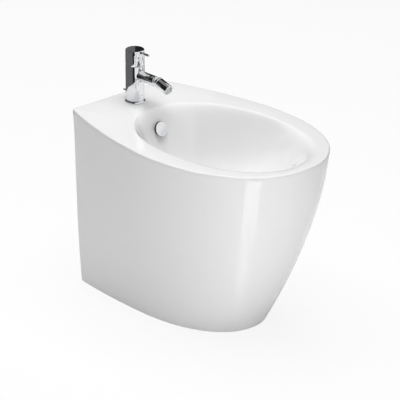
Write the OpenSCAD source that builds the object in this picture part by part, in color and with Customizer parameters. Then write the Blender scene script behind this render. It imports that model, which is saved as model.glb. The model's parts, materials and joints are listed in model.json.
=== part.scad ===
// Floor standing bidet with its mixer, overflow and pop-up waste.
// The nose points along -Y, the flat back stands against a wall at +Y, and Z is up.
// The origin is on the floor, midway between the sides and between wall and nose.

/* [Ceramic outside] */
// Height of the rim above the floor
rim_h = 400; // [380:1:430]
// Greatest width, at the rim
rim_w = 380; // [350:1:400]
// Depth from the wall to the nose
rim_depth = 570; // [540:1:600]
// Distance from the wall to the widest place of the rim
rim_waist = 296; // [270:1:320]
// Length of the curve that draws the rim in towards the wall
rim_tail = 481; // [440:1:520]
// Roundness of that curve at the rim, where 2 is an ellipse
rim_tail_n = 1.55; // [1.4:0.05:2.2]
// Greatest width of the foot
foot_w = 244; // [220:1:270]
// Depth of the foot from the wall
foot_depth = 421; // [400:1:450]
// Distance from the wall to the widest place of the foot
foot_waist = 205; // [180:1:230]
// Length of the curve that draws the foot in towards the wall
foot_tail = 450; // [420:1:480]
// Roundness of that curve at the foot
foot_tail_n = 1.96; // [1.6:0.02:2.2]
// Roundness of the nose, where 2 is an ellipse
nose_n = 2.2; // [2:0.05:2.6]
// How strongly the front swells between foot and rim
nose_curve = 1.63; // [1.2:0.01:2]
// How strongly the sides swell between foot and rim
side_curve = 1.13; // [1:0.01:1.6]
// Thickness of the skirt
skirt_t = 12; // [10:0.5:14]
// Thickness of the rim and the tap deck
deck_t = 12; // [10:0.5:14]
// Radius of the rim's outer edge
edge_r = 4; // [2:0.5:6]
// Half the width of the opening in the back
service_r = 86; // [76:1:88]

/* [Bowl] */
// Width of the bowl between its lips
bowl_w = 294; // [270:1:300]
// Distance from the wall to the bowl's middle
bowl_v = 315; // [305:1:320]
// From the bowl's middle to its front lip
bowl_front = 220; // [205:1:224]
// From the bowl's middle to its back lip
bowl_back = 195; // [180:1:198]
// Roundness of the lip, where 2 is an ellipse
lip_n = 2.14; // [2:0.02:2.4]
// Depth of the bowl at the waste
bowl_drop = 148; // [130:1:155]
// Distance from the wall to the waste
drain_v = 240; // [235:1:250]
// Reach of the soft lip at the sides of the bowl
lip_side = 9; // [6:0.5:12]
// Reach of the soft lip at the front and back of the bowl
lip_end = 15; // [10:0.5:18]
// Height of the overflow's middle above the floor
overflow_z = 358; // [350:1:362]
// How far the overflow faces upwards, in degrees
overflow_tilt = 20; // [15:1:25]

/* [Mixer] */
// Distance from the wall to the mixer
tap_v = 57; // [52:1:62]
// Radius of the hole in the deck
tap_hole_r = 17.5; // [17:0.5:18]
// Radius of the mixer's body and cap
body_r = 20; // [19.8:0.1:20.5]
// Height of the seam between body and cap above the deck
seam_h = 82; // [81:0.5:84]
// Height of the cap
cap_h = 34; // [33:0.5:36]
// Height of the spout's axis above the deck
spout_h = 62; // [60:0.5:63]
// Length of the spout from the mixer's axis
spout_len = 66; // [60:1:75]
// Radius of the spout and of the nozzle
spout_r = 10.75; // [10.6:0.05:11]
// How far the nozzle points down, in degrees
nozzle_tilt = 18; // [0:1:19]
// Length of the nozzle from the centre of its ball
nozzle_len = 29.7; // [27:0.1:34]
// How far the handle lifts, in degrees
handle_lift = 18; // [10:1:18]
// Reach of the lever pin from the mixer's axis
lever_reach = 44.5; // [36:0.5:60]
// Height of the pull pin above the deck with the waste open
pull_h = 16.6; // [16:0.1:17]
// Reach of the pull pin from the mixer's axis
pull_reach = 36.4; // [30:0.1:40]

/* [Waste] */
// Height of the pivot rod's ball above the floor
pivot_z = 168; // [160:1:172]
// Distance from the waste's axis back to the ball
pivot_in = 36; // [34:1:38]
// Slope of the pivot rod with the waste open, in degrees
pivot_slope = 5.6; // [4:0.1:5.6]
// Height of the tailpiece's lower end above the floor
tail_z = 84; // [60:1:110]

/* [Hidden] */
$fn = 96;

wall_y = rim_depth / 2;
wall_steps = 4;
tail_steps = 10;
nose_steps = 16;
half_steps = wall_steps + tail_steps + nose_steps;
ring_steps = 2 * half_steps;

drain_z = rim_h - bowl_drop;
boss_r = 42;
boss_h = 38;
boss_z = drain_z - boss_h;
pilot_r = 15;
bowl_t = 7;
under_top = rim_h - deck_t;
under_drop = under_top - (drain_z - 11);
waste_hole_r = 23;
seat_z = drain_z - 3;
duct_depth = 24;
duct_wall = 8;
duct_half = 22;

tap_y = wall_y - tap_v;
drain_y = wall_y - drain_v;
ring_h = 3.2;
gasket_r = 20.5;
chamber_z = 56;
counterbore_z = 70;
counterbore_r = 15.5;
cap_z = seam_h + 0.7;
cap_top = cap_z + cap_h;
cap_inner_r = 17.6;
cap_solid_z = cap_top - 9.7;
lift_axis_z = seam_h + 0.35;
stem_r = 3.5;
stem_top = cap_solid_z - 1;
boss_low = 99.2;
screw_z = 102.5;
lever_z = cap_top - 3.8;
lever_r = 2.45;
ball_reach = spout_len + 12;
ball_r = 9.5;
neck_r = 6.2;
inlet_x = 8;
inlet_y = 1.5;
stud_y = -11;
rod_y = 14.6;
rod_r = 2;
rod_head_r = 3;

ball_y = drain_y + pivot_in;
lift_y = tap_y + rod_y;
link_arm = lift_y - ball_y;
link_z = pivot_z - link_arm * tan(pivot_slope);
pull_travel = 2 * link_arm * tan(pivot_slope);
plug_travel = 2 * pivot_in * tan(pivot_slope);
pivot_rod_r = 2.5;
pivot_ball_r = 5.5;
plug_foot_z = pivot_z + pivot_in * tan(pivot_slope) + pivot_rod_r / cos(pivot_slope) + 0.3;
waste_r = 21;
tail_r = 16;
tail_top = 158;
socket_low = 140;

// ---- curves ----

function mix(a, b, t) = a + (b - a) * t;

function arc(centre, r, from, to, steps) =
    [for (k = [0:steps]) let (a = mix(from, to, k / steps)) centre + r * [cos(a), sin(a)]];

// Share of the way from the foot's size to the rim's at height z
function rise(z, curve) = 1 - pow(max(0, 1 - z / rim_h), curve);
function depth_at(z) = mix(foot_depth, rim_depth, rise(z, nose_curve));
function half_w_at(z) = mix(foot_w, rim_w, rise(z, side_curve)) / 2;
function waist_at(z) = mix(foot_waist, rim_waist, rise(z, nose_curve));
function tail_at(z) = mix(foot_tail, rim_tail, rise(z, nose_curve));
function tail_n_at(z) = mix(foot_tail_n, rim_tail_n, rise(z, nose_curve));

// Angle along the tail curve at which it meets the wall
function wall_angle(z) = asin(pow(waist_at(z) / tail_at(z), tail_n_at(z) / 2));

function tail_point(a, z) = [
    half_w_at(z) * pow(cos(a), 2 / tail_n_at(z)),
    waist_at(z) - tail_at(z) * pow(sin(a), 2 / tail_n_at(z))
];

function nose_point(a, z) = [
    half_w_at(z) * pow(cos(a), 2 / nose_n),
    mix(waist_at(z), depth_at(z), pow(sin(a), 2 / nose_n))
];

// One side of the outline at height z as [x, distance from the wall], from the wall's middle to the nose
function side_point(j, z) =
    j < wall_steps ? [tail_point(wall_angle(z), z)[0] * j / wall_steps, 0]
    : j == wall_steps ? [tail_point(wall_angle(z), z)[0], 0]
    : j <= wall_steps + tail_steps
    ? tail_point(wall_angle(z) * (1 - (j - wall_steps) / tail_steps), z)
    : nose_point(90 * (j - wall_steps - tail_steps) / nose_steps, z);

function outline_point(i, z) =
    i <= half_steps ? side_point(i, z) : let (p = side_point(ring_steps - i, z)) [-p[0], p[1]];

// The outline drawn in by d all round
function inset_point(i, z, d) =
    let (p = outline_point(i, z))
    [p[0] * (1 - d / half_w_at(z)), d + p[1] * (1 - 2 * d / depth_at(z))];

// Bearing of an outline point seen from the bowl's middle: 0 at the nose, 180 at the wall
function bearing(i) = let (p = outline_point(i, rim_h)) atan2(p[0], p[1] - bowl_v);

function lip_radius(a, grow) =
    let (along = (cos(a) > 0 ? bowl_front : bowl_back) + grow, across = bowl_w / 2 + grow)
    pow(pow(abs(sin(a)) / across, lip_n) + pow(abs(cos(a)) / along, lip_n), -1 / lip_n);

function lip_point(a, grow, out) =
    (lip_radius(a, grow) + out) * [sin(a), cos(a)] + [0, bowl_v];

function drain_point(a, r) = r * [sin(a), cos(a)] + [0, drain_v];

// The wall is steep at the back of the bowl and eases towards the nose
function bowl_power(a) = 2.35 - 0.3 * cos(a);
function bowl_fall(a, s, drop) = drop * (1 - pow(s, bowl_power(a)));

// Bowl surface at bearing a, where s is 1 at the lip and 0 at the waste
function bowl_point(a, s) =
    let (p = mix(drain_point(a, pilot_r), lip_point(a, 0, 0), s))
    [p[0], p[1], rim_h - bowl_fall(a, s, bowl_drop)];

// Underside of the bowl
function under_point(a, s) =
    let (p = mix(drain_point(a, boss_r), lip_point(a, bowl_t, 0), s))
    [p[0], p[1], under_top - bowl_fall(a, s, under_drop)];

function lip_reach(a) = mix(lip_side, lip_end, pow(cos(a), 2));
function lip_share(a) = 1 - lip_reach(a) / norm(lip_point(a, 0, 0) - drain_point(a, pilot_r));

// The soft lip is a curve from the flat rim, past the lip's corner, down to the bowl's wall
function lip_curve(a, t) =
    let (p = lip_point(a, 0, lip_reach(a)), q = lip_point(a, 0, 0), r = bowl_point(a, lip_share(a)))
    pow(1 - t, 2) * [p[0], p[1], rim_h] + 2 * t * (1 - t) * [q[0], q[1], rim_h] + t * t * r;

// ---- ceramic ----

skirt_rows = 11;
edge_rows = 3;
lip_rows = 4;
bowl_rows = 8;
under_rows = 7;
inner_rows = 7;
cove = 8;

function level(i, z, d) = let (p = inset_point(i, z, d)) [p[0], p[1], z];
function skirt_inside(i, z) =
    let (p = outline_point(i, z), d = skirt_t)
    [p[0] * (1 - d / half_w_at(z)), d + p[1] * (1 - 2 * d / depth_at(z)), z];

// Closed sections, each from the foot up the skirt, over the rim, down the bowl and back inside
function section(i) = let (a = bearing(i)) concat(
    [for (k = [0:skirt_rows]) level(i, (rim_h - edge_r) * k / skirt_rows, 0)],
    [for (k = [1:edge_rows]) let (t = 90 * k / edge_rows)
        level(i, rim_h - edge_r * (1 - sin(t)), edge_r * (1 - cos(t)))],
    [for (k = [0:lip_rows]) lip_curve(a, k / lip_rows)],
    [for (k = [1:bowl_rows]) bowl_point(a, lip_share(a) * (1 - k / bowl_rows))],
    [let (p = drain_point(a, pilot_r)) [p[0], p[1], boss_z]],
    [let (p = drain_point(a, boss_r - 2)) [p[0], p[1], boss_z]],
    [for (k = [0:under_rows]) under_point(a, k / under_rows)],
    [let (p = inset_point(i, under_top, skirt_t + cove)) [p[0], p[1], under_top]],
    [for (k = [0:inner_rows]) skirt_inside(i, (under_top - cove) * (1 - k / inner_rows))]
);

module china_shell() {
    sections = [for (i = [0:ring_steps - 1]) section(i)];
    rows = len(sections[0]);
    points = [for (s = sections) for (p = s) [p[0], wall_y - p[1], p[2]]];
    faces = [for (i = [0:ring_steps - 1], k = [0:rows - 1])
        let (a = i * rows, b = (i + 1) % ring_steps * rows, n = (k + 1) % rows)
        for (f = [[a + k, b + k, b + n], [a + k, b + n, a + n]]) f];
    polyhedron(points, faces);
}

// Extrudes an outline of [distance from the wall, height] to both sides of the middle
module middle_web(outline, half) {
    translate([-half, 0, 0])
        rotate([90, 0, 90])
            linear_extrude(2 * half)
                polygon([for (p = outline) [wall_y - p[0], p[1]]]);
}

function back_under(s, shift) = let (p = under_point(180, s)) [p[1] - shift, p[2]];
function back_middle(s) =
    let (p = under_point(180, s), q = bowl_point(180, s)) [p[1] + q[1], p[2] + q[2]] / 2;

module overflow_duct() {
    middle_web(concat(
        [for (k = [0:8]) back_middle(1 - k / 8)],
        [[drain_v - 35, boss_z + 1], [drain_v - boss_r - duct_depth - 2, boss_z + 1]],
        [for (k = [0:8]) back_under(k / 8, duct_depth)]
    ), duct_half);
}

module overflow_channel() {
    channel = duct_depth - duct_wall;
    half = duct_half - duct_wall;
    floor_z = boss_z + duct_wall;
    middle_web(concat(
        [for (k = [0:7]) back_under(0.9 * (1 - k / 7), 0)],
        [[drain_v - boss_r, floor_z], [drain_v - boss_r - channel, floor_z]],
        [for (k = [0:7]) back_under(0.9 * k / 7, channel)]
    ), half);
    middle_web([
        [drain_v - boss_r - channel, floor_z], [drain_v, floor_z],
        [drain_v, floor_z + 12], [drain_v - boss_r - channel, floor_z + 12]
    ], half);
}

overflow_s = pow(1 - (rim_h - overflow_z) / bowl_drop, 1 / bowl_power(180));

// Places things at the overflow with Z pointing out of the bowl's wall
module at_overflow() {
    translate([0, wall_y - bowl_point(180, overflow_s)[1], overflow_z])
        rotate([90 - overflow_tilt, 0, 0])
            children();
}

module service_opening() {
    arch_z = rim_h - 138;
    translate([0, wall_y + 1, 0])
        rotate([90, 0, 0])
            linear_extrude(skirt_t + 3) {
                translate([0, arch_z])
                    circle(service_r);
                translate([-service_r, -1])
                    square([2 * service_r, arch_z + 1]);
            }
}

module ceramic_body() {
    color("white")
        difference() {
            union() {
                china_shell();
                overflow_duct();
            }
            overflow_channel();
            at_overflow()
                translate([0, 0, -20])
                    cylinder(r = 11, h = 30);
            at_tap()
                translate([0, 0, -deck_t - 1])
                    cylinder(r = tap_hole_r, h = deck_t + 2);
            at_drain(0)
                translate([0, 0, boss_z - 1])
                    cylinder(r = waste_hole_r, h = boss_h + 3);
            at_drain(seat_z)
                cylinder(r = 33, h = 12);
            service_opening();
        }
}

// ---- placing and small shapes ----

module at_tap() {
    translate([0, tap_y, rim_h])
        children();
}

module at_drain(z) {
    translate([0, drain_y, z])
        children();
}

// Z runs forwards along the spout from the mixer's axis
module along_spout(d) {
    at_tap()
        translate([0, -d, spout_h])
            rotate([90, 0, 0])
                children();
}

// Z runs out of the nozzle from the centre of its ball
module at_nozzle() {
    at_tap()
        translate([0, -ball_reach, spout_h])
            rotate([90 + nozzle_tilt, 0, 0])
                children();
}

// Z runs backwards along the branch of the waste from the waste's axis
module along_branch(d) {
    translate([0, drain_y + d, pivot_z])
        rotate([-90, 0, 0])
            children();
}

module ring(outer, inner, h) {
    difference() {
        cylinder(r = outer, h = h);
        translate([0, 0, -1])
            cylinder(r = inner, h = h + 2);
    }
}

// A round bar with a rounded far end
module pin(r, h, round_r) {
    rotate_extrude()
        polygon(concat([[0, 0], [r, 0]], arc([r - round_r, h - round_r], round_r, 0, 90, 4), [[0, h]]));
}

module hex_nut(flats, bore, h) {
    difference() {
        intersection() {
            cylinder(d = flats / cos(30), h = h, $fn = 6);
            rotate_extrude()
                polygon([[0, 0], [flats * 0.52, 0], [flats * 0.58, flats * 0.04],
                    [flats * 0.58, h - flats * 0.04], [flats * 0.52, h], [0, h]]);
        }
        translate([0, 0, -1])
            cylinder(r = bore, h = h + 2);
    }
}

// ---- overflow ----

module overflow_ring() {
    color("gainsboro")
        at_overflow()
            rotate_extrude()
                polygon([[9.3, -12], [10.8, -12], [10.8, 1.5], [14.5, 1.5], [14.5, 2.2], [14.2, 2.5],
                    [9.3, 2.5]]);
}

module overflow_seal() {
    color("dimgray")
        at_overflow()
            translate([0, 0, 0.8])
                ring(13.6, 11.1, 0.7);
}

module overflow_cap() {
    face = 5.8;
    edge = 1.2;
    color("gainsboro")
        at_overflow() {
            rotate_extrude()
                polygon(concat([[0, 3.4], [15.6, 3.4], [16, 3.8]],
                    arc([16 - edge, face - edge], edge, 0, 90, 5), [[0, face]]));
            for (a = [90:120:330])
                rotate([0, 0, a])
                    translate([7.7, 0, -8])
                        cylinder(r = 1.3, h = 11.6);
        }
}

// ---- mixer ----

module base_ring() {
    color("silver")
        at_tap()
            rotate_extrude()
                polygon([[tap_hole_r, 1.2], [gasket_r, 1.2], [gasket_r, 0.2], [21.5, 0.2], [21.75, 0.5],
                    [21.75, ring_h - 0.6], [21.2, ring_h], [tap_hole_r, ring_h]]);
}

module base_gasket() {
    color("dimgray")
        at_tap()
            ring(gasket_r - 0.1, tap_hole_r + 0.2, 1.2);
}

module pull_slot() {
    slot_r = 2.3;
    for (z = [pull_h, pull_h + pull_travel])
        translate([0, rod_y, z])
            rotate([-90, 0, 0])
                cylinder(r = slot_r, h = 10);
    translate([-slot_r, rod_y, pull_h])
        cube([2 * slot_r, 10, pull_travel]);
}

module mixer_body() {
    color("silver")
        at_tap()
            difference() {
                rotate_extrude()
                    polygon([[0, ring_h], [body_r - 0.3, ring_h], [body_r, ring_h + 0.3],
                        [body_r, seam_h - 0.5], [body_r - 0.5, seam_h], [0, seam_h]]);
                translate([0, 0, chamber_z])
                    cylinder(r = 12.7, h = 40);
                translate([0, 0, counterbore_z])
                    cylinder(r = counterbore_r, h = 40);
                for (side = [-1, 1])
                    translate([side * inlet_x, inlet_y, 0]) {
                        cylinder(r = 5, h = ring_h + 13);
                        cylinder(r = 3, h = chamber_z + 1);
                    }
                translate([0, stud_y, 0])
                    cylinder(r = 4, h = ring_h + 15);
                translate([0, rod_y, 0])
                    cylinder(r = rod_head_r + 0.2, h = chamber_z - 2);
                pull_slot();
                translate([0, -11, spout_h])
                    rotate([90, 0, 0])
                        cylinder(r = 7.55, h = 12);
            }
}

module spout_tube() {
    color("silver")
        difference() {
            union() {
                difference() {
                    along_spout(0)
                        rotate_extrude()
                            polygon([[0, 8], [spout_r, 8], [spout_r, spout_len - 0.8],
                                [spout_r - 0.8, spout_len], [0, spout_len]]);
                    at_tap()
                        cylinder(r = body_r + 0.02, h = 100);
                }
                along_spout(13.2)
                    cylinder(r = 7.5, h = 20);
            }
            along_spout(0)
                cylinder(r = 5.5, h = 100);
            along_spout(spout_len - 10)
                cylinder(r = 8.6, h = 11);
        }
}

module ball_adaptor() {
    back = ball_reach - sqrt(ball_r * ball_r - neck_r * neck_r);
    color("silver")
        along_spout(0)
            rotate_extrude()
                polygon(concat(
                    [[4, spout_len - 9], [8.5, spout_len - 9], [8.5, spout_len + 0.05],
                        [9.4, spout_len + 0.05], [9.6, spout_len + 0.3], [9.6, spout_len + 1.2],
                        [9.3, spout_len + 1.5], [neck_r, spout_len + 1.5], [neck_r, back]],
                    arc([0, ball_reach], ball_r, -acos(neck_r / ball_r) + 4, 60, 16),
                    [[4, ball_reach + ball_r * sin(60)]]));
}

module lock_ring() {
    color("silver")
        at_nozzle()
            rotate_extrude()
                polygon(concat(
                    arc([0, 0], ball_r + 0.08, -5.4, -28, 5),
                    [[8.9, -5.7], [10.1, -5.7]],
                    arc([spout_r - 0.8, -4.9], 0.8, -90, 0, 3),
                    [[spout_r, -0.9]]));
}

module ball_seal() {
    color("dimgray")
        at_nozzle()
            rotate_extrude()
                polygon(concat(
                    arc([0, 0], ball_r + 0.05, 28, 42, 4),
                    arc([0, 0], ball_r + 1.0, 42, 28, 4)));
}

module nozzle_housing() {
    color("silver")
        at_nozzle()
            rotate_extrude()
                polygon(concat(
                    arc([0, 0], ball_r + 0.3, -3.5, 27, 6),
                    arc([0, 0], ball_r + 1.1, 27, 43, 4),
                    [[6.5, 7.4], [6.5, nozzle_len - 13.7], [8.6, nozzle_len - 13.7], [8.6, nozzle_len - 0.4],
                        [9, nozzle_len], [spout_r - 0.7, nozzle_len], [spout_r, nozzle_len - 0.7],
                        [spout_r, -0.6]]));
}

module aerator_washer() {
    color("dimgray")
        at_nozzle()
            translate([0, 0, nozzle_len - 13.6])
                ring(8.5, 5.5, 1.6);
}

// The cage carries a domed stack of rings in front, behind which the wire screens lie
module aerator_insert() {
    face = nozzle_len - 0.5;
    color("darkgray")
        at_nozzle()
            difference() {
                translate([0, 0, nozzle_len - 11.9])
                    cylinder(r = 8.5, h = 11.4);
                translate([0, 0, nozzle_len - 12.5])
                    cylinder(r = 5.5, h = 8);
                for (r = [1.2:1.6:7.6])
                    translate([0, 0, face - 0.5])
                        ring(r + 0.8, r, 1);
            }
}

module cartridge() {
    color("ivory")
        at_tap()
            difference() {
                union() {
                    translate([0, 0, chamber_z + 0.1])
                        cylinder(r = 12.5, h = 16);
                    translate([0, 0, counterbore_z + 0.05])
                        cylinder(r = 15.2, h = 2.5);
                    translate([0, 0, counterbore_z])
                        cylinder(r = 11.5, h = 8.6);
                }
                translate([0, 0, 72.8])
                    cylinder(r = 10, h = 20);
            }
}

module cartridge_nut() {
    color("goldenrod")
        at_tap()
            translate([0, 0, counterbore_z + 2.6])
                difference() {
                    ring(15.4, 11.6, 6.8);
                    for (a = [0:60:300])
                        rotate([0, 0, a])
                            translate([12.2, -1.5, 4.4])
                                cube([4, 3, 4]);
                }
}

module cartridge_dome() {
    dome_r = 16.6;
    mouth_r = 9.5;
    inner = dome_r - 1.4;
    color("silver")
        at_tap()
            rotate_extrude()
                polygon(concat(
                    [[14, 79.6], [15.4, 79.6], [15.4, seam_h + 0.05], [16.4, seam_h + 0.05]],
                    arc([0, lift_axis_z], dome_r, 0, acos(mouth_r / dome_r), 10),
                    arc([0, lift_axis_z], inner, acos(mouth_r / inner), 6, 8),
                    [[14, 81]]));
}

module stem_carrier() {
    color("whitesmoke")
        at_tap()
            difference() {
                union() {
                    translate([0, 0, 73])
                        cylinder(r = 9.9, h = 6);
                    for (side = [-1, 1])
                        translate([side * 5.7 - 1.5, -3, 78])
                            cube([3, 6, 8]);
                }
                translate([-4, -8, 74.5])
                    cube([8, 14, 20]);
                translate([-10, 0, lift_axis_z])
                    rotate([0, 90, 0])
                        cylinder(r = 1.5, h = 20);
            }
}

module stem_pin() {
    color("silver")
        at_tap()
            translate([-7.2, 0, lift_axis_z])
                rotate([0, 90, 0])
                    cylinder(r = 1.5, h = 14.4);
}

module cartridge_stem() {
    color("silver")
        at_tap()
            difference() {
                translate([0, 0, 76])
                    cylinder(r = stem_r, h = stem_top - 76);
                translate([-10, 0, lift_axis_z])
                    rotate([0, 90, 0])
                        cylinder(r = 1.56, h = 20);
            }
}

// The cap's lower edge rises towards the wall, so that it can rock back over the body
module handle_cap() {
    edge = 1.8;
    color("silver")
        at_tap()
            difference() {
                union() {
                    difference() {
                        rotate_extrude()
                            polygon(concat([[0, cap_z], [body_r - 0.4, cap_z], [body_r, cap_z + 0.4]],
                                arc([body_r - edge, cap_top - edge], edge, 0, 90, 6), [[0, cap_top]]));
                        translate([0, 0, cap_z - 1])
                            cylinder(r = cap_inner_r, h = cap_solid_z - cap_z + 1);
                    }
                    translate([0, 0, boss_low])
                        cylinder(r = 7, h = cap_solid_z - boss_low + 1);
                }
                translate([0, 0, boss_low - 1])
                    cylinder(r = stem_r + 0.05, h = stem_top - boss_low + 1.2);
                translate([0, 0, lift_axis_z])
                    rotate([handle_lift + 0.6, 0, 0])
                        translate([-25, 0, -30])
                            cube([50, 50, 30]);
                translate([0, 0, screw_z])
                    rotate([-90, 0, 0])
                        cylinder(r = 2.5, h = body_r + 1);
                translate([0, -11, lever_z])
                    rotate([90, 0, 0])
                        cylinder(r = lever_r + 0.05, h = 12);
            }
}

module lever_pin() {
    color("silver")
        at_tap()
            translate([0, -11.2, lever_z])
                rotate([90, 0, 0])
                    pin(lever_r, lever_reach - 11.2, 0.8);
}

module grub_screw() {
    color("dimgray")
        at_tap()
            translate([0, stem_r + 0.1, screw_z])
                rotate([-90, 0, 0])
                    difference() {
                        cylinder(r = 2.4, h = 4.5);
                        translate([0, 0, 2.5])
                            cylinder(r = 1.3, h = 3, $fn = 6);
                    }
}

// ---- fixing under the deck ----

module horseshoe(outer, h) {
    difference() {
        cylinder(r = outer, h = h);
        translate([-14, -4, -1])
            cube([28, 40, h + 2]);
        translate([0, stud_y, -1])
            cylinder(r = 4.3, h = h + 2);
    }
}

module mounting_stud() {
    color("goldenrod")
        at_tap()
            translate([0, stud_y, -65])
                cylinder(r = 3.95, h = 65 + ring_h + 14);
}

module clamp_gasket() {
    color("dimgray")
        at_tap()
            translate([0, 0, -deck_t - 3])
                horseshoe(23.5, 3);
}

module clamp_plate() {
    color("lightgray")
        at_tap()
            translate([0, 0, -deck_t - 5.5])
                horseshoe(23, 2.5);
}

module stud_nut() {
    color("goldenrod")
        at_tap()
            translate([0, stud_y, -deck_t - 17.5])
                hex_nut(13, 4, 12);
}

// ---- waste control ----

module lift_rod() {
    color("silver")
        difference() {
            union() {
                translate([0, lift_y, link_z + 5.2])
                    cylinder(r = rod_r, h = rim_h + 12 - link_z);
                translate([0, lift_y, rim_h + pull_h - 4.6])
                    cylinder(r = rod_head_r, h = 9.5);
            }
            translate([0, lift_y - 5, rim_h + pull_h])
                rotate([-90, 0, 0])
                    cylinder(r = 2, h = 10);
        }
}

module pull_pin() {
    color("silver")
        at_tap()
            translate([0, rod_y - 2.4, pull_h])
                rotate([-90, 0, 0])
                    pin(1.95, pull_reach - rod_y + 2.4, 0.7);
}

module link_block() {
    color("goldenrod")
        translate([0, lift_y, link_z])
            difference() {
                rotate_extrude()
                    polygon([[0, -6.5], [5.9, -6.5], [6.5, -5.9], [6.5, 15.4], [5.9, 16], [0, 16]]);
                translate([0, 0, 5])
                    cylinder(r = rod_r + 0.05, h = 20);
                translate([0, -10, 0])
                    rotate([-90, 0, 0])
                        cylinder(r = 3.5, h = 20);
                translate([0, 0, 11])
                    rotate([-90, 0, 0])
                        cylinder(r = 2, h = 10);
            }
}

module link_screw() {
    color("silver")
        translate([0, lift_y + 2.1, link_z + 11])
            rotate([-90, 0, 0]) {
                cylinder(r = 1.95, h = 7);
                translate([0, 0, 6])
                    difference() {
                        cylinder(r = 4.5, h = 6);
                        for (a = [0:30:330])
                            rotate([0, 0, a])
                                translate([4.8, 0, -1])
                                    cylinder(r = 0.7, h = 8, $fn = 24);
                    }
            }
}

module pivot_rod() {
    color("silver")
        translate([0, ball_y, pivot_z])
            rotate([-pivot_slope, 0, 0]) {
                translate([0, -pivot_in - 2, 0])
                    rotate([-90, 0, 0])
                        cylinder(r = pivot_rod_r, h = pivot_in + 2 + link_arm + 15);
                sphere(r = pivot_ball_r);
            }
}

// Half socket for the ball, with its mouth towards Z
module ball_seat() {
    gap = 0.06;
    rotate_extrude()
        polygon(concat(
            arc([0, 0], pivot_ball_r + gap, -4, -36, 6),
            [[4.5, -5.6], [7.5, -5.6], [7.5, -0.4]]));
}

module ball_seat_inner() {
    color("whitesmoke")
        along_branch(pivot_in)
            ball_seat();
}

module ball_seat_outer() {
    color("whitesmoke")
        along_branch(pivot_in)
            mirror([0, 0, 1])
                ball_seat();
}

module ball_nut() {
    color("silver")
        along_branch(pivot_in - 3)
            difference() {
                hex_nut(26, 5.5, 12);
                translate([0, 0, -1])
                    cylinder(r = 11.05, h = 10.2);
            }
}

// ---- waste ----

// Windows through which the overflow's water enters the waste
module overflow_windows() {
    for (a = [45:90:315])
        rotate([0, 0, a])
            translate([15, -5, boss_z + 12])
                cube([10, 10, 12]);
}

module waste_flange() {
    color("silver")
        at_drain(0)
            difference() {
                rotate_extrude()
                    polygon([[17, boss_z + 10], [18.6, boss_z + 10], [18.6, seat_z - 2.8], [21, seat_z - 2.8],
                        [22.6, seat_z - 1.4], [22.6, seat_z + 1], [31.2, seat_z + 1], [32, seat_z + 1.6],
                        [31.8, seat_z + 2.4], [31, seat_z + 3], [29, seat_z + 3.5], [27, seat_z + 3.3],
                        [17.2, seat_z - 2], [17, seat_z - 2.4]]);
                overflow_windows();
            }
}

module flange_seal() {
    color("dimgray")
        at_drain(seat_z)
            ring(31, 22.9, 1);
}

module waste_plug() {
    head_z = seat_z + 0.9 + plug_travel;
    color("silver")
        at_drain(0) {
            rotate_extrude()
                polygon(concat(
                    [[0, plug_foot_z], [1.5, plug_foot_z], [4, plug_foot_z + 1.2], [4, head_z - 3.4],
                        [16.8, head_z - 3.4], [16.8, head_z - 2.5], [16.3, head_z - 2.5], [16.3, head_z],
                        [20.1, head_z], [20.5, head_z + 0.5], [20.2, head_z + 1.5]],
                    arc([0, head_z - 47], 51, 66.9, 90, 5)));
            for (a = [0, 90])
                rotate([0, 0, a])
                    translate([-16.4, -1, head_z - 22])
                        cube([32.8, 2, 19]);
        }
}

module plug_seal() {
    color("dimgray")
        at_drain(seat_z - 0.45 + plug_travel)
            rotate_extrude()
                translate([17.4, 0])
                    circle(r = 1.05, $fn = 32);
}

module waste_body() {
    color("silver")
        at_drain(0)
            difference() {
                union() {
                    rotate_extrude()
                        polygon([[0, socket_low], [20.2, socket_low], [20.6, socket_low + 0.4],
                            [20.6, 160], [19.5, 161.5],
                            [19.5, 186], [waste_r, 188], [waste_r, seat_z - 3.5],
                            [waste_r - 0.5, seat_z - 3], [0, seat_z - 3]]);
                    translate([0, 0, pivot_z])
                        rotate([-90, 0, 0])
                            cylinder(r = 11, h = pivot_in + 6);
                }
                translate([0, 0, 100])
                    cylinder(r = 15, h = 200);
                translate([0, 0, 100])
                    cylinder(r = tail_r - 0.2, h = tail_top + 2 - 100);
                translate([0, 0, boss_z + 9])
                    cylinder(r = 18.7, h = 60);
                translate([0, 0, pivot_z])
                    rotate([-90, 0, 0]) {
                        cylinder(r = 6, h = pivot_in + 10);
                        translate([0, 0, pivot_in - 5.8])
                            cylinder(r = 7.6, h = 20);
                    }
                overflow_windows();
            }
}

module body_seal() {
    color("dimgray")
        at_drain(boss_z - 8.5)
            rotate_extrude()
                polygon([[waste_r + 0.1, 0], [31, 0], [32, 1], [30, 8.5], [waste_r + 0.1, 8.5]]);
}

module lock_washer() {
    color("whitesmoke")
        at_drain(boss_z - 10.5)
            ring(31, waste_r + 0.3, 2);
}

module lock_nut() {
    color("goldenrod")
        at_drain(boss_z - 22)
            hex_nut(52, waste_r + 0.05, 11.5);
}

module tailpiece() {
    color("silver")
        at_drain(tail_z)
            rotate_extrude()
                polygon([[tail_r - 1.3, 0], [tail_r, 0], [tail_r, socket_low - 6 - tail_z],
                    [tail_r - 0.3, socket_low - 5.7 - tail_z], [tail_r - 0.3, tail_top - tail_z],
                    [tail_r - 1.3, tail_top - tail_z]]);
}

module tail_gasket() {
    color("dimgray")
        at_drain(tail_top)
            ring(tail_r - 0.3, tail_r - 1.3, 2);
}

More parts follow.
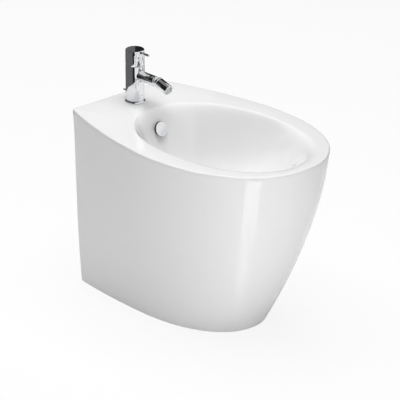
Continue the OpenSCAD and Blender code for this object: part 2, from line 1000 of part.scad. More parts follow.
ceramic_body();
overflow_ring();
overflow_seal();
overflow_cap();
base_ring();
base_gasket();
mixer_body();
spout_tube();
ball_adaptor();
lock_ring();
ball_seal();
nozzle_housing();
aerator_washer();
aerator_insert();
cartridge();
cartridge_nut();
cartridge_dome();
stem_carrier();
stem_pin();
cartridge_stem();
handle_cap();
lever_pin();
grub_screw();
mounting_stud();
clamp_gasket();
clamp_plate();
stud_nut();
lift_rod();
pull_pin();
link_block();
link_screw();
pivot_rod();
ball_seat_inner();
ball_seat_outer();
ball_nut();
waste_flange();
flange_seal();
waste_plug();
plug_seal();
waste_body();
body_seal();
lock_washer();
lock_nut();
tailpiece();
tail_gasket();
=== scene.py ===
# %% [markdown]
# # A floor standing bidet with a single lever mixer
#
# The CAD part gives the shapes, sizes and joints. This lesson dresses it: a smooth glazed shell, the mixer,
# the overflow cap and the waste, each with its own finish. Everything is in metres, in the CAD part's
# frame: the wall is at +Y, the nose at -Y, and the floor at Z = 0.

import json
import math

import bmesh
import bpy
from mathutils import Matrix, Vector

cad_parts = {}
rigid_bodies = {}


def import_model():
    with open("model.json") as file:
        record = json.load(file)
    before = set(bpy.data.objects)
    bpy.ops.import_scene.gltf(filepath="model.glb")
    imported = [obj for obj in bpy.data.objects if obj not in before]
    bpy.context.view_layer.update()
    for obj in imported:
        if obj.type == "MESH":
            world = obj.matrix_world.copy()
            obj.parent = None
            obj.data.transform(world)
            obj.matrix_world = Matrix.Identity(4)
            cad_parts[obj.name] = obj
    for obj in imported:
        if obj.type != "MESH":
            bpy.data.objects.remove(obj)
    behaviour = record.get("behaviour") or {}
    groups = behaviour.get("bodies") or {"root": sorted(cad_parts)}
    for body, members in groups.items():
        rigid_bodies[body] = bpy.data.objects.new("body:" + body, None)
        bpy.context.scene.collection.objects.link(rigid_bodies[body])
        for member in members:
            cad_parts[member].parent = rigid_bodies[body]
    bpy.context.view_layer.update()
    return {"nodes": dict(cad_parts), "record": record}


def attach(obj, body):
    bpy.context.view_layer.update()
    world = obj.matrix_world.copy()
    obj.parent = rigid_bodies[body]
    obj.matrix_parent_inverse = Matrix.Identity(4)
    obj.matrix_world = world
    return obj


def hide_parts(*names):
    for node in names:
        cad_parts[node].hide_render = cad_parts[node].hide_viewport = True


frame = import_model()

MM = 0.001

# %% [markdown]
# ## Camera
#
# The photograph was taken from far away with a long lens, so parallel edges stay nearly parallel. The
# camera's place came from matching the outline of the rim and foot, and it looks straight at a point
# inside the object, so no lens shift is needed.

# %% Camera
look_at = Vector((0.0048, 0.03128, 0.23341))
around, above, distance = math.radians(-42.47), math.radians(22.9), 6.6243
camera_data = bpy.data.cameras.new("photo_camera")
camera_data.lens = 285.94
camera_data.sensor_width = 36.0
camera_data.clip_end = 60.0
camera = bpy.data.objects.new("photo_camera", camera_data)
bpy.context.collection.objects.link(camera)
camera.location = look_at + distance * Vector((
    math.sin(around) * math.cos(above), -math.cos(around) * math.cos(above), math.sin(above)))
camera.rotation_euler = (look_at - camera.location).to_track_quat("-Z", "Y").to_euler()
bpy.context.scene.camera = camera
print("camera at", tuple(round(c, 4) for c in camera.location))

# %% [markdown]
# ## Making and placing pieces
#
# Turned pieces such as the overflow's cap are drawn as half a section, (radius, height) in millimetres, and
# spun round Z. A placing matrix then carries them to their axis. The object itself stays at the origin, so
# its place is in its mesh and procedural patterns stay put when a joint moves.

# %% Placing matrices
TAP = Matrix.Translation((0, 0.228, 0.400))
DRAIN = Matrix.Translation((0, 0.045, 0))


def tilted(place, degrees):
    return place @ Matrix.Rotation(math.radians(degrees), 4, "X")


print("mixer's axis at", tuple(TAP.translation), "and the waste's at", tuple(DRAIN.translation))

# %% Finishing a piece


def finish_piece(name, mesh_data, body, material, node, soft_angle=32):
    """Makes the object, smooths it up to soft_angle and hands it to its CAD body."""
    mesh = bpy.data.meshes.new(name)
    mesh_data.to_mesh(mesh)
    mesh_data.free()
    piece = bpy.data.objects.new(name, mesh)
    bpy.context.collection.objects.link(piece)
    mesh.shade_smooth()
    mesh.set_sharp_from_angle(angle=math.radians(soft_angle))
    mesh.materials.append(material)
    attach(piece, body)
    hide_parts(node)
    return piece


def fresh_copy(node):
    """The CAD node's loose triangles as one joined mesh."""
    copied = bmesh.new()
    copied.from_mesh(frame["nodes"][node].data)
    bmesh.ops.remove_doubles(copied, verts=copied.verts, dist=1e-6)
    return copied


def arc(centre, radius, start, end, steps):
    """Points along an arc in a section, angles in degrees."""
    return [(centre[0] + radius * math.cos(math.radians(start + (end - start) * k / steps)),
             centre[1] + radius * math.sin(math.radians(start + (end - start) * k / steps)))
            for k in range(steps + 1)]


def turned(section, place, steps=96):
    """Spins a closed half section, in millimetres, round Z and puts it at its place."""
    made = bmesh.new()
    corners = [made.verts.new((r * MM, 0, z * MM)) for r, z in section]
    edges = [made.edges.new((a, b)) for a, b in zip(corners, corners[1:] + corners[:1])]
    bmesh.ops.spin(made, geom=corners + edges, cent=(0, 0, 0), axis=(0, 0, 1),
                   angle=2 * math.pi, steps=steps, use_merge=True)
    bmesh.ops.remove_doubles(made, verts=made.verts, dist=1e-7)
    bmesh.ops.dissolve_degenerate(made, edges=made.edges, dist=1e-8)
    bmesh.ops.recalc_face_normals(made, faces=made.faces)
    made.transform(place)
    return made


print("helpers ready")

# %% [markdown]
# ## Glazed china
#
# Sanitary china is a fired clay body under a thin layer of glass. The glass gives one sharp, weak
# reflection over a soft white body, so the base is nearly white and rough, and a clear coat carries the
# shine. Real glaze pulls into very shallow waves as it melts: a slow noise as bump gives those, and a
# second slow noise shifts the white by a hair, as the glaze's thickness does.

# %% Node helpers


def new_material(name):
    material = bpy.data.materials.new(name)
    material.use_nodes = True
    tree = material.node_tree
    shader = tree.nodes["Principled BSDF"]
    coords = tree.nodes.new("ShaderNodeTexCoord")
    mapping = tree.nodes.new("ShaderNodeMapping")
    tree.links.new(coords.outputs["Object"], mapping.inputs["Vector"])
    return material, tree, shader, mapping


def noise(tree, mapping, scale, detail=2.0, roughness=0.5):
    node = tree.nodes.new("ShaderNodeTexNoise")
    node.inputs["Scale"].default_value = scale
    node.inputs["Detail"].default_value = detail
    node.inputs["Roughness"].default_value = roughness
    tree.links.new(mapping.outputs["Vector"], node.inputs["Vector"])
    return node


def ramp(tree, source, low, high, colours=None, spread=None):
    """Maps a pattern's 0..1 to a small range of grey, or between two colours."""
    node = tree.nodes.new("ShaderNodeMapRange")
    tree.links.new(source, node.inputs["Value"])
    if spread:
        node.inputs["From Min"].default_value, node.inputs["From Max"].default_value = spread
    node.inputs["To Min"].default_value, node.inputs["To Max"].default_value = low, high
    if colours is None:
        return node.outputs["Result"]
    mix = tree.nodes.new("ShaderNodeMix")
    mix.data_type = "RGBA"
    tree.links.new(node.outputs["Result"], mix.inputs["Factor"])
    mix.inputs["A"].default_value = (*colours[0], 1)
    mix.inputs["B"].default_value = (*colours[1], 1)
    return mix.outputs["Result"]


def bump(tree, shader, height, strength, depth):
    node = tree.nodes.new("ShaderNodeBump")
    node.inputs["Strength"].default_value = strength
    node.inputs["Distance"].default_value = depth
    tree.links.new(height, node.inputs["Height"])
    tree.links.new(node.outputs["Normal"], shader.inputs["Normal"])
    return node


# %% China


def glazed_china():
    material, tree, shader, mapping = new_material("glazed_china")
    shade = noise(tree, mapping, 9, 3)
    tint = ramp(tree, shade.outputs["Fac"], 0, 1, ((0.845, 0.848, 0.845), (0.875, 0.876, 0.872)))
    tree.links.new(tint, shader.inputs["Base Color"])
    shader.inputs["Roughness"].default_value = 0.32
    shader.inputs["Specular IOR Level"].default_value = 0.08
    shader.inputs["Coat Weight"].default_value = 0.9
    shader.inputs["Coat Roughness"].default_value = 0.01
    shader.inputs["Coat IOR"].default_value = 1.5
    waves = noise(tree, mapping, 26, 2)
    glaze = bump(tree, shader, waves.outputs["Fac"], 0.06, 0.001)
    tree.links.new(glaze.outputs["Normal"], shader.inputs["Coat Normal"])
    return material


CHINA = glazed_china()
print("material:", CHINA.name)

# %% [markdown]
# ## Metal, rubber and plastic
#
# Chrome plate is a mirror with a faint blue-grey cast. What makes it look real is not its colour but small
# changes in its gloss where hands and limescale dull it, so a noise drives roughness over a small range.
# The overflow's cap is satin chrome, which spreads what it mirrors. The hidden pieces are plain brass,
# zinc plated steel, black rubber and white plastic. Their noise is finer: turned and plated metal has a
# grain, moulded rubber is matt, and plastic has a soft sheen.

# %% Metals


def metal(name, colour, dull, shine, grain=900, depth=0.00001):
    material, tree, shader, mapping = new_material(name)
    cloud = noise(tree, mapping, 60, 3)
    tree.links.new(ramp(tree, cloud.outputs["Fac"], 0, 1,
                        (tuple(c * 0.94 for c in colour), colour)), shader.inputs["Base Color"])
    shader.inputs["Metallic"].default_value = 1.0
    tree.links.new(ramp(tree, cloud.outputs["Fac"], shine, dull, spread=(0.35, 0.75)),
                   shader.inputs["Roughness"])
    fine = noise(tree, mapping, grain, 2)
    bump(tree, shader, fine.outputs["Fac"], 0.05, depth)
    return material


CHROME = metal("chrome_plate", (0.80, 0.81, 0.83), 0.07, 0.035)
BRASS = metal("turned_brass", (0.78, 0.56, 0.27), 0.38, 0.22, 500, 0.00005)
STEEL = metal("zinc_plated_steel", (0.62, 0.63, 0.64), 0.42, 0.28, 500, 0.00005)
SATIN = metal("satin_chrome", (0.80, 0.81, 0.83), 0.30, 0.22)
print("materials:", CHROME.name, BRASS.name, STEEL.name, SATIN.name)

# %% Rubber and plastic


def moulded(name, dark, light, rough, grain, strength):
    material, tree, shader, mapping = new_material(name)
    speck = noise(tree, mapping, grain, 4, 0.6)
    tree.links.new(ramp(tree, speck.outputs["Fac"], 0, 1, (dark, light)), shader.inputs["Base Color"])
    tree.links.new(ramp(tree, speck.outputs["Fac"], rough - 0.06, rough + 0.06),
                   shader.inputs["Roughness"])
    bump(tree, shader, speck.outputs["Fac"], strength, 0.0001)
    return material


RUBBER = moulded("seal_rubber", (0.018, 0.018, 0.019), (0.035, 0.035, 0.036), 0.62, 700, 0.3)
PLASTIC = moulded("white_plastic", (0.78, 0.78, 0.75), (0.84, 0.84, 0.81), 0.36, 400, 0.12)
print("materials:", RUBBER.name, PLASTIC.name)

# %% [markdown]
# ## The china body: its outline
#
# Seen from above, each level of the skirt is one closed outline: a straight back on the wall, two long
# sides that close in towards the wall, and a blunt nose. Both curves are superellipses, which are ellipses
# with fuller corners. The foot is narrower and shorter than the rim, and every size on the way up is a
# blend of the two, so the whole skirt comes from a dozen numbers.

# %% Sizes of the china body, in millimetres
rim_h, rim_w, rim_depth, rim_waist, rim_tail, rim_tail_n = 400, 380, 570, 296, 481, 1.55
foot_w, foot_depth, foot_waist, foot_tail, foot_tail_n = 244, 421, 205, 450, 1.96
nose_n, nose_curve, side_curve = 2.2, 1.63, 1.13
skirt_t, deck_t, edge_r = 12, 12, 4
bowl_w, bowl_v, bowl_front, bowl_back, front_n, back_n = 288, 315, 220, 195, 2.14, 2.0
bowl_drop, drain_v, lip_side, lip_front, lip_back, nose_fill = 148, 240, 4, 38, 9, 12
boss_z, pilot_r, boss_r, seat_z = 214, 15, 42, 249
under_top, under_drop, bowl_t = 388, 147, 7
wall_y = 285


def mix(a, b, t):
    return a + (b - a) * t


def rise(z, curve):
    """Share of the way from the foot's size to the rim's at height z."""
    return 1 - max(0.0, 1 - z / rim_h) ** curve


def skirt_sizes(z):
    forward, sideways = rise(z, nose_curve), rise(z, side_curve)
    return {"depth": mix(foot_depth, rim_depth, forward), "half": mix(foot_w, rim_w, sideways) / 2,
            "waist": mix(foot_waist, rim_waist, forward), "tail": mix(foot_tail, rim_tail, forward),
            "tail_n": mix(foot_tail_n, rim_tail_n, forward)}


print("half width at floor, middle and rim:", [round(skirt_sizes(z)["half"], 1) for z in (0, 200, 400)])

# %% The outline at one level
WALL_COLUMNS, CORNER_COLUMNS, TAIL_COLUMNS, NOSE_COLUMNS = 10, 6, 44, 56
CORNER_SHARE = 0.02


def tail_point(angle, s):
    return (s["half"] * max(0.0, math.cos(angle)) ** (2 / s["tail_n"]),
            s["waist"] - s["tail"] * max(0.0, math.sin(angle)) ** (2 / s["tail_n"]))


def nose_point(angle, s):
    return (s["half"] * max(0.0, math.cos(angle)) ** (2 / nose_n),
            mix(s["waist"], s["depth"], math.sin(angle) ** (2 / nose_n)))


def side_outline(z):
    """One side at height z as (x, distance from the wall), from the wall's middle to the nose."""
    s = skirt_sizes(z)
    wall_angle = math.asin((s["waist"] / s["tail"]) ** (s["tail_n"] / 2))
    corner = (tail_point(wall_angle, s)[0], 0.0)
    after = tail_point(wall_angle * (1 - CORNER_SHARE), s)
    before = (corner[0] - math.dist(corner, after), 0.0)
    points = [(before[0] * k / WALL_COLUMNS, 0.0) for k in range(WALL_COLUMNS)]
    for k in range(CORNER_COLUMNS + 1):
        t = k / CORNER_COLUMNS
        points.append(tuple((1 - t) ** 2 * a + 2 * t * (1 - t) * b + t * t * c
                            for a, b, c in zip(before, corner, after)))
    for k in range(1, TAIL_COLUMNS + 1):
        points.append(tail_point(wall_angle * (1 - CORNER_SHARE) * (1 - k / TAIL_COLUMNS), s))
    for k in range(1, NOSE_COLUMNS + 1):
        points.append(nose_point(math.pi / 2 * k / NOSE_COLUMNS, s))
    points[-1] = (0.0, points[-1][1])
    return points


def whole_outline(z, inset=0.0):
    """Both sides at height z, drawn in by inset all round."""
    s = skirt_sizes(z)
    side = [(x * (1 - inset / s["half"]), inset + v * (1 - 2 * inset / s["depth"]))
            for x, v in side_outline(z)]
    return side + [(-x, v) for x, v in side[-2:0:-1]]


COLUMNS = len(whole_outline(0))
print("columns round the body:", COLUMNS)

# %% [markdown]
# ## The china body: bowl, lip and underside
#
# The bowl is drawn along rays from the waste to the lip. Its depth follows a power of the distance, which
# gives a flat floor and a steep wall, steeper at the back than at the nose. The lip has no edge: where the
# depth passes through zero, a soft maximum carries the flat rim over into the bowl. It is a few millimetres
# wide at the sides, and so wide towards the nose that rim and bowl flow into each other.

# %% Curves of the bowl


OVERFLOW_KEEP = 16


def lip_at(bearing, grow=0.0, out=0.0):
    """The bowl's edge in plan. Behind, its roundness returns to the CAD part's just at the overflow."""
    ahead = math.cos(bearing) > 0
    across, along = bowl_w / 2, bowl_front if ahead else bowl_back
    n = front_n if ahead else mix(back_n, front_n, math.cos(bearing) ** OVERFLOW_KEEP)
    reach = ((abs(math.sin(bearing)) / (across + grow)) ** n
             + (abs(math.cos(bearing)) / (along + grow)) ** n) ** (-1 / n) + out
    return (reach * math.sin(bearing), bowl_v + reach * math.cos(bearing))


def drain_at(bearing, radius):
    return (radius * math.sin(bearing), drain_v + radius * math.cos(bearing))


def bowl_power(bearing):
    """The wall is steep at the back of the bowl and eases towards the nose."""
    return 2.35 - 0.3 * math.cos(bearing)


def lip_sizes(bearing):
    """The lip's reach to each side and how far its corner is filled in, both in millimetres."""
    end_on = math.cos(bearing) ** 2
    if math.cos(bearing) > 0:
        return mix(lip_side, lip_front, end_on), nose_fill * end_on
    return mix(lip_side, lip_back, end_on), 0.0


def wall_steepness(bearing):
    """Fall of the bowl's wall at the lip, per millimetre."""
    return bowl_drop * bowl_power(bearing) / math.dist(lip_at(bearing), drain_at(bearing, pilot_r))


def bowl_at(bearing, share):
    """Bowl surface, where share is 1 at the lip and 0 at the waste."""
    x, v = (mix(a, b, share) for a, b in zip(drain_at(bearing, pilot_r), lip_at(bearing)))
    reach, fill = lip_sizes(bearing)
    steep = wall_steepness(bearing)
    fall = bowl_drop * (1 - share ** bowl_power(bearing)) - fill * steep * share ** 3
    inside = min(1.0, max(0.0, 0.5 + 0.5 * fall / (reach * steep)))
    return (x, v, rim_h - inside * fall - reach * steep * inside * (1 - inside))


def under_at(bearing, share):
    x, v = (mix(a, b, share) for a, b in zip(drain_at(bearing, boss_r), lip_at(bearing, bowl_t)))
    return (x, v, under_top - under_drop * (1 - share ** bowl_power(bearing)))


RIM_MARGIN, BOWL_MARGIN = 1.02, 1.15


def lip_shares(bearing):
    """The shares of the ray at which the lip's curve starts on the rim and ends in the bowl."""
    reach, fill = lip_sizes(bearing)
    whole = math.dist(lip_at(bearing), drain_at(bearing, pilot_r))
    return 1 + (reach * RIM_MARGIN - fill) / whole, 1 - (reach * BOWL_MARGIN + fill) / whole


print("bowl at the nose side, half way:", [round(c, 1) for c in bowl_at(0.0, 0.5)])

# %% Levels of the section, from the foot over the rim and back inside
SKIRT_ROWS, EDGE_ROWS, LIP_ROWS, BOWL_ROWS, UNDER_ROWS, INNER_ROWS = 40, 8, 16, 40, 18, 18


def china_levels():
    rim = whole_outline(rim_h)
    bearings = [math.atan2(x, v - bowl_v) for x, v in rim]
    levels = []

    def outside(z, inset):
        levels.append([(x, v, z) for x, v in whole_outline(z, inset)])

    for inset, z in ((1.0, 0.0), (0.3, 0.3), (0.0, 1.0)):
        outside(z, inset)
    for k in range(1, SKIRT_ROWS + 1):
        outside(1 + (rim_h - edge_r - 1) * k / SKIRT_ROWS, 0.0)
    for k in range(1, EDGE_ROWS + 1):
        turn = math.pi / 2 * k / EDGE_ROWS
        outside(rim_h - edge_r * (1 - math.sin(turn)), edge_r * (1 - math.cos(turn)))
    for k in range(LIP_ROWS + 1):
        levels.append([bowl_at(b, mix(*lip_shares(b), k / LIP_ROWS)) for b in bearings])
    for k in range(1, BOWL_ROWS + 1):
        levels.append([bowl_at(b, lip_shares(b)[1] * (1 - k / BOWL_ROWS)) for b in bearings])
    for radius in (pilot_r, boss_r - 2):
        levels.append([(*drain_at(b, radius), boss_z) for b in bearings])
    for k in range(UNDER_ROWS + 1):
        levels.append([under_at(b, k / UNDER_ROWS) for b in bearings])
    levels.append([(x, v, under_top) for x, v in whole_outline(under_top, skirt_t + 8)])
    for k in range(INNER_ROWS + 1):
        z = (under_top - 8) * (1 - k / INNER_ROWS)
        levels.append([(x, v, z) for x, v in whole_outline(z, skirt_t)])
    return levels


LEVELS = china_levels()
print("levels in the section:", len(LEVELS))

# %% [markdown]
# ## The china body: from levels to a mesh
#
# Cast china is one skin with no seams. A circle with one point per column is laid on the first level, and
# its edge is extruded once for every next level. Each new point inherits its column number from the one it
# grew from, so it knows where to go. The last level is bridged back to the first, which closes the wall.

# %% The shell


def lofted(levels, closed_section):
    """Extrudes a ring from level to level. Each level lists its points' places in millimetres."""
    loft = bmesh.new()
    column = loft.verts.layers.int.new("column")
    start = bmesh.ops.create_circle(loft, cap_ends=False, segments=len(levels[0]), radius=1.0)["verts"]
    for k, vert in enumerate(start):
        vert[column] = k
        vert.co = Vector(levels[0][k]) * MM
    first = list({edge for vert in start for edge in vert.link_edges})
    ring = first
    for level in levels[1:]:
        grown = bmesh.ops.extrude_edge_only(loft, edges=ring)["geom"]
        fresh = {g for g in grown if isinstance(g, bmesh.types.BMVert)}
        ring = [g for g in grown if isinstance(g, bmesh.types.BMEdge)
                and g.verts[0] in fresh and g.verts[1] in fresh]
        for vert in fresh:
            vert.co = Vector(level[vert[column]]) * MM
    if closed_section:
        bmesh.ops.bridge_loops(loft, edges=first + ring)
    else:
        bmesh.ops.holes_fill(loft, edges=first + ring)
    bmesh.ops.recalc_face_normals(loft, faces=loft.faces)
    return loft


shell = lofted([[(x, wall_y - v, z) for x, v, z in level] for level in LEVELS], True)
print("shell: faces", len(shell.faces), "open edges", sum(e.is_boundary for e in shell.edges),
      "volume in litres", round(shell.calc_volume() * 1000, 3))

# %% [markdown]
# ## The china body: duct and holes
#
# The overflow is a flat channel cast on the back of the bowl, from a hole high in the bowl's wall down to
# the waste. It is added as a web and then cut out, with the holes for mixer, waste and hands. Each cutter
# is a simple closed shape: a Boolean modifier joins or cuts it, and the result is kept as a plain mesh.

# %% Cutters


def middle_web(outline, half):
    """Extrudes a section of (distance from the wall, height) to both sides of the middle."""
    web = bmesh.new()
    face = web.faces.new([web.verts.new((-half * MM, (wall_y - v) * MM, z * MM)) for v, z in outline])
    grown = bmesh.ops.extrude_face_region(web, geom=[face])["geom"]
    moved = [g for g in grown if isinstance(g, bmesh.types.BMVert)]
    bmesh.ops.translate(web, verts=moved, vec=(2 * half * MM, 0, 0))
    bmesh.ops.recalc_face_normals(web, faces=web.faces)
    return web


def back_under(share, shift):
    point = under_at(math.pi, share)
    return (point[1] - shift, point[2])


def back_middle(share):
    low, high = under_at(math.pi, share), bowl_at(math.pi, share)
    return ((low[1] + high[1]) / 2, (low[2] + high[2]) / 2)


duct = middle_web([back_middle(1 - k / 12) for k in range(13)]
                  + [(drain_v - 35, boss_z + 1), (drain_v - boss_r - 26, boss_z + 1)]
                  + [back_under(k / 12, 24) for k in range(13)], 22)
channel = middle_web([back_under(0.9 * (1 - k / 12), 0) for k in range(13)]
                     + [(drain_v - boss_r, boss_z + 8), (drain_v - boss_r - 16, boss_z + 8)]
                     + [back_under(0.9 * k / 12, 16) for k in range(13)], 14)
inlet = middle_web([(drain_v - boss_r - 16, boss_z + 8), (drain_v, boss_z + 8),
                    (drain_v, boss_z + 20), (drain_v - boss_r - 16, boss_z + 20)], 14)
overflow_z, overflow_tilt = 358, 20
overflow_share = (1 - (rim_h - overflow_z) / bowl_drop) ** (1 / bowl_power(math.pi))
OVERFLOW = tilted(Matrix.Translation(
    (0, (wall_y - bowl_at(math.pi, overflow_share)[1]) * MM, overflow_z * MM)), 90 - overflow_tilt)
overflow_hole = turned([(0, -20), (11, -20), (11, 10), (0, 10)], OVERFLOW, 64)
tap_hole = turned([(0, -deck_t - 1), (17.5, -deck_t - 1), (17.5, 1), (0, 1)], TAP, 96)
waste_hole = turned([(0, boss_z - 1), (23, boss_z - 1), (23, seat_z), (33, seat_z),
                     (33, seat_z + 12), (0, seat_z + 12)], DRAIN, 96)
print("overflow hole at", [round(c, 4) for c in OVERFLOW.translation])

# %% The hand opening in the back, with a softened edge


def arch_outline(depth, grow):
    """The arch at a depth behind the wall's face, drawn out by grow."""
    radius, arch_z = 86 + grow, rim_h - 138
    bend = [(-radius * math.cos(math.pi * k / 48), arch_z + radius * math.sin(math.pi * k / 48))
            for k in range(49)]
    return [(x, wall_y - depth, z) for x, z in [(-radius, -2.0)] + bend + [(radius, -2.0)]]


hand_opening = lofted([arch_outline(depth, grow) for depth, grow in (
    (-1.0, 2.6), (0.0, 2.5), (0.5, 1.2), (1.3, 0.35), (2.6, 0.0), (15.0, 0.0))], False)
print("hand opening: faces", len(hand_opening.faces))

# %% Join and cut


def kept_as_mesh(piece):
    """Applies what the modifiers do, so that the piece is a plain mesh."""
    graph = bpy.context.evaluated_depsgraph_get()
    result = bpy.data.meshes.new_from_object(piece.evaluated_get(graph))
    piece.modifiers.clear()
    old, piece.data = piece.data, result
    bpy.data.meshes.remove(old)


def cut(piece, tool_data, operation="DIFFERENCE"):
    mesh = bpy.data.meshes.new("tool")
    tool_data.to_mesh(mesh)
    tool_data.free()
    tool = bpy.data.objects.new("tool", mesh)
    bpy.context.collection.objects.link(tool)
    boolean = piece.modifiers.new("boolean", "BOOLEAN")
    boolean.operation, boolean.solver, boolean.object = operation, "EXACT", tool
    kept_as_mesh(piece)
    bpy.data.objects.remove(tool)
    bpy.data.meshes.remove(mesh)


body_mesh = bpy.data.meshes.new("china_body")
shell.to_mesh(body_mesh)
shell.free()
china_body = bpy.data.objects.new("china_body", body_mesh)
bpy.context.collection.objects.link(china_body)
cut(china_body, duct, "UNION")
for tool_data in (channel, inlet, overflow_hole, tap_hole, waste_hole, hand_opening):
    cut(china_body, tool_data)
print("china body after the cuts: faces", len(china_body.data.polygons))

# %% [markdown]
# ## The china body: slivers and finish
#
# Booleans leave slivers where a cutter's edge lies on an edge of the body, here along the middle. Points
# that are a few thousandths of a millimetre apart are joined, so that every edge again has two faces.

# %% Remove slivers and finish
SLIVER = 0.005 * MM
cleaned = bmesh.new()
cleaned.from_mesh(china_body.data)
bmesh.ops.remove_doubles(cleaned, verts=cleaned.verts, dist=SLIVER)
bmesh.ops.dissolve_degenerate(cleaned, edges=cleaned.edges, dist=SLIVER)
print("china edges not shared by two faces:", sum(len(e.link_faces) != 2 for e in cleaned.edges))
cleaned.to_mesh(china_body.data)
cleaned.free()
china_body.data.materials.clear()
china_body.data.materials.append(CHINA)
china_body.data.shade_smooth()
china_body.data.set_sharp_from_angle(angle=math.radians(38))
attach(china_body, "main")
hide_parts("ceramic_body")
print("china body: faces", len(china_body.data.polygons))

# %% [markdown]
# ## Overflow cap
#
# The cap stands off the bowl's wall on three legs, so that water can run in behind it. Its face is very
# slightly crowned and satin, which spreads what it mirrors, and its edge is a thick rounded wall.

# %% Overflow cap


def overflow_cover():
    radius, face, edge, crown = 16.0, 9.2, 1.4, 0.5
    crowned = [(r, face + crown * (1 - (r / (radius - edge)) ** 2)) for r in (14.2, 12, 9, 6, 3, 1, 0)]
    cover = turned([(0, 3.4), (radius - 0.4, 3.4), (radius, 3.8)]
                   + arc((radius - edge, face - edge), edge, 0, 86, 8) + crowned, OVERFLOW)
    for bearing in (90, 210, 330):
        leg = Matrix.Rotation(math.radians(bearing), 4, "Z") @ Matrix.Translation(
            (7.7 * MM, 0, -2.2 * MM))
        bmesh.ops.create_cone(cover, cap_ends=True, segments=24, radius1=1.3 * MM, radius2=1.3 * MM,
                              depth=11.6 * MM, matrix=OVERFLOW @ leg)
    return cover


cap_piece = finish_piece("overflow_cover", overflow_cover(), "main", SATIN, "overflow_cap")
print("overflow cover: faces", len(cap_piece.data.polygons))

# %% [markdown]
# ## Pieces that keep the CAD shape
#
# Most inner pieces are exact in the CAD part already. A CAD mesh is loose triangles, which shade flat, so
# each is copied, its points are joined, and the copy is smoothed up to an angle: round faces turn smooth
# and turned edges stay crisp.

# %% Smooth copies
COPIES = {
    "chrome": (CHROME, ["overflow_ring", "base_ring", "mixer_body", "spout_tube",
                        "ball_adaptor", "lock_ring", "nozzle_housing", "cartridge_dome", "handle_cap",
                        "lever_pin", "lift_rod", "pull_pin", "pivot_rod", "ball_nut", "waste_flange",
                        "waste_plug", "waste_body", "tailpiece"]),
    "rubber": (RUBBER, ["overflow_seal", "base_gasket", "ball_seal", "aerator_washer", "clamp_gasket",
                        "flange_seal", "plug_seal", "body_seal", "tail_gasket"]),
    "brass": (BRASS, ["cartridge_nut", "mounting_stud", "stud_nut", "link_block", "lock_nut"]),
    "steel": (STEEL, ["stem_pin", "cartridge_stem", "grub_screw", "clamp_plate", "link_screw"]),
    "white_plastic": (PLASTIC, ["cartridge", "stem_carrier", "ball_seat_inner", "ball_seat_outer",
                                "lock_washer"]),
    "aerator_mesh": (STEEL, ["aerator_insert"]),
}
BODY_OF = {node: body for body, nodes in frame["record"]["behaviour"]["bodies"].items() for node in nodes}
for slot_name, (material, nodes) in COPIES.items():
    for node in nodes:
        finish_piece(node + "_smooth", fresh_copy(node), BODY_OF[node], material, node)
print("smooth copies:", sum(len(nodes) for _, nodes in COPIES.values()))

# %% [markdown]
# ## Floor, light and background
#
# The photograph has a plain white background and soft light, mostly from the viewer's side and above. A
# white floor and world show as white to the camera and in reflections, while the light on the object comes
# from large soft lamps at a plain level. The floor keeps a faint shadow where the object stands. The lamps
# themselves aren't mirrored: a glaze would show each of them as a hard bright patch.

# %% Floor and world
FLOOR_WHITE_SEEN, FLOOR_WHITE_MIRRORED = 0.88, 0.4


def white_floor():
    material = bpy.data.materials.new("white_floor")
    material.use_nodes = True
    tree = material.node_tree
    tree.nodes.clear()
    output = tree.nodes.new("ShaderNodeOutputMaterial")
    lit, plain = tree.nodes.new("ShaderNodeBsdfDiffuse"), tree.nodes.new("ShaderNodeEmission")
    lit.inputs["Color"].default_value = (0.9, 0.9, 0.9, 1)
    plain.inputs["Color"].default_value = (1, 1, 1, 1)
    path = tree.nodes.new("ShaderNodeLightPath")
    mirrored, share = tree.nodes.new("ShaderNodeMath"), tree.nodes.new("ShaderNodeMath")
    mirrored.operation, share.operation = "MULTIPLY", "MULTIPLY_ADD"
    mirrored.inputs[1].default_value = FLOOR_WHITE_MIRRORED
    share.inputs[1].default_value = FLOOR_WHITE_SEEN
    tree.links.new(path.outputs["Is Glossy Ray"], mirrored.inputs[0])
    tree.links.new(path.outputs["Is Camera Ray"], share.inputs[0])
    tree.links.new(mirrored.outputs[0], share.inputs[2])
    blend = tree.nodes.new("ShaderNodeMixShader")
    tree.links.new(share.outputs[0], blend.inputs["Fac"])
    tree.links.new(lit.outputs[0], blend.inputs[1])
    tree.links.new(plain.outputs[0], blend.inputs[2])
    tree.links.new(blend.outputs[0], output.inputs["Surface"])
    return material


floor_data = bmesh.new()
bmesh.ops.create_grid(floor_data, x_segments=1, y_segments=1, size=6.0)
floor_mesh = bpy.data.meshes.new("floor")
floor_data.to_mesh(floor_mesh)
floor_data.free()
floor = bpy.data.objects.new("floor", floor_mesh)
bpy.context.collection.objects.link(floor)
floor.location.z = -0.0005
floor_mesh.materials.append(white_floor())

world = bpy.data.worlds.new("white_room")
bpy.context.scene.world = world
world.use_nodes = True
tree = world.node_tree
tree.nodes.clear()
output = tree.nodes.new("ShaderNodeOutputWorld")
seen_room, lit_room = tree.nodes.new("ShaderNodeBackground"), tree.nodes.new("ShaderNodeBackground")
seen_room.inputs["Strength"].default_value = 1.0
seen_room.inputs["Color"].default_value = (1, 1, 1, 1)
lit_room.inputs["Color"].default_value = (1, 1, 1, 1)
lit_room.inputs["Strength"].default_value = 0.02
path, seen = tree.nodes.new("ShaderNodeLightPath"), tree.nodes.new("ShaderNodeMath")
seen.operation = "MAXIMUM"
tree.links.new(path.outputs["Is Camera Ray"], seen.inputs[0])
tree.links.new(path.outputs["Is Glossy Ray"], seen.inputs[1])
blend = tree.nodes.new("ShaderNodeMixShader")
tree.links.new(seen.outputs[0], blend.inputs["Fac"])
tree.links.new(lit_room.outputs[0], blend.inputs[1])
tree.links.new(seen_room.outputs[0], blend.inputs[2])
tree.links.new(blend.outputs[0], output.inputs["Surface"])
print("floor and world ready")

